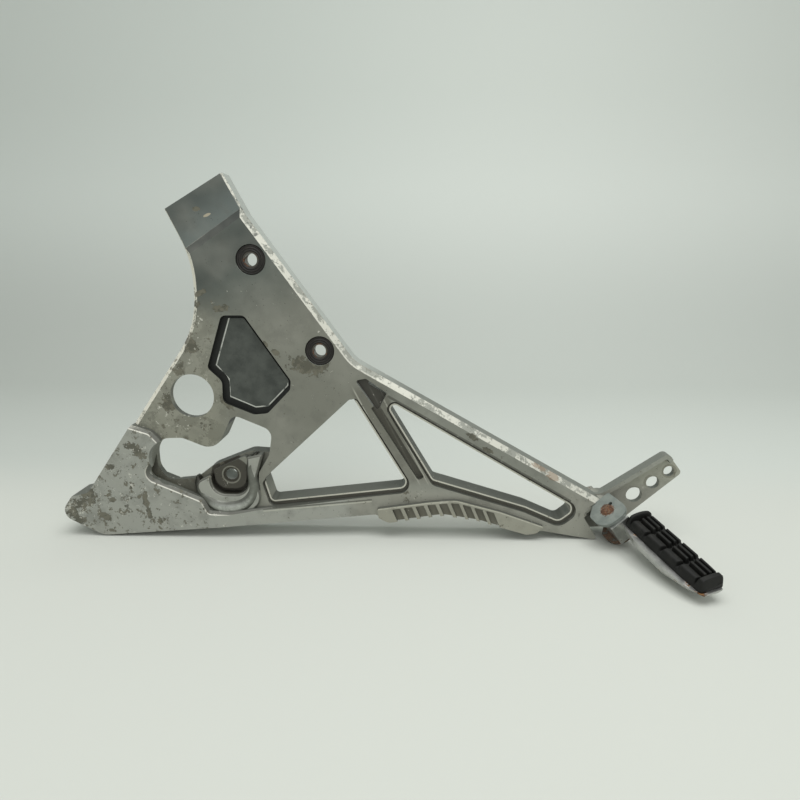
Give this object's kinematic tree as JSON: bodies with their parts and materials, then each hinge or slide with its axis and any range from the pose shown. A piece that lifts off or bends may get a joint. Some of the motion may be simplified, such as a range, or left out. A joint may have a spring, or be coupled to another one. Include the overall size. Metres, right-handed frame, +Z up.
{
  "type": "motorcycle footrest hanger",
  "caption": "Cast alloy footrest hanger with a pierced truss, rubber grommets with steel sleeves, and a rubber-covered footrest that folds on a sprung clevis.",
  "frame": {"origin": "on the axis of the boss bolt hole, in the plane of the casting's flat back, which lies against the motorcycle", "axes": "+X along the truss towards the footrest, -Y outwards from the motorcycle to the side the footrest points to, +Z up in the pose of the picture"},
  "size_m": [0.4589, 0.116, 0.2585],
  "materials": {
    "cast_aluminium": "weathered silver-grey coating, bare at the edges",
    "grommet_rubber": "matt black rubber",
    "sleeve_steel": "turned steel",
    "zinc_plated_steel": "dull bluish zinc with rust inside",
    "pin_steel": "rusty steel",
    "fastener_steel": "zinc-plated steel",
    "peg_steel": "worn plated steel, rusty at the tip",
    "peg_rubber": "matt black rubber"
  },
  "bodies": {
    "hanger": {"hanger_casting": "cast_aluminium", "upper_grommet": "grommet_rubber", "upper_collar": "sleeve_steel", "lower_grommet": "grommet_rubber", "lower_collar": "sleeve_steel", "clevis_bracket": "zinc_plated_steel", "bracket_washer": "fastener_steel", "bracket_nut": "fastener_steel", "pivot_pin": "pin_steel", "thrust_washer": "fastener_steel"},
    "footrest": {"peg_core": "peg_steel", "peg_rubber": "peg_rubber", "detent_ball": "fastener_steel", "detent_spring": "fastener_steel"}
  },
  "joints": [
    {"name": "footrest_fold", "type": "hinge", "parent": "hanger", "child": "footrest", "pos_m": [0.281, -0.023, -0.029], "axis": [-0.5449, -0.3421, 0.7655], "range_deg": [0, 70]}
  ]
}
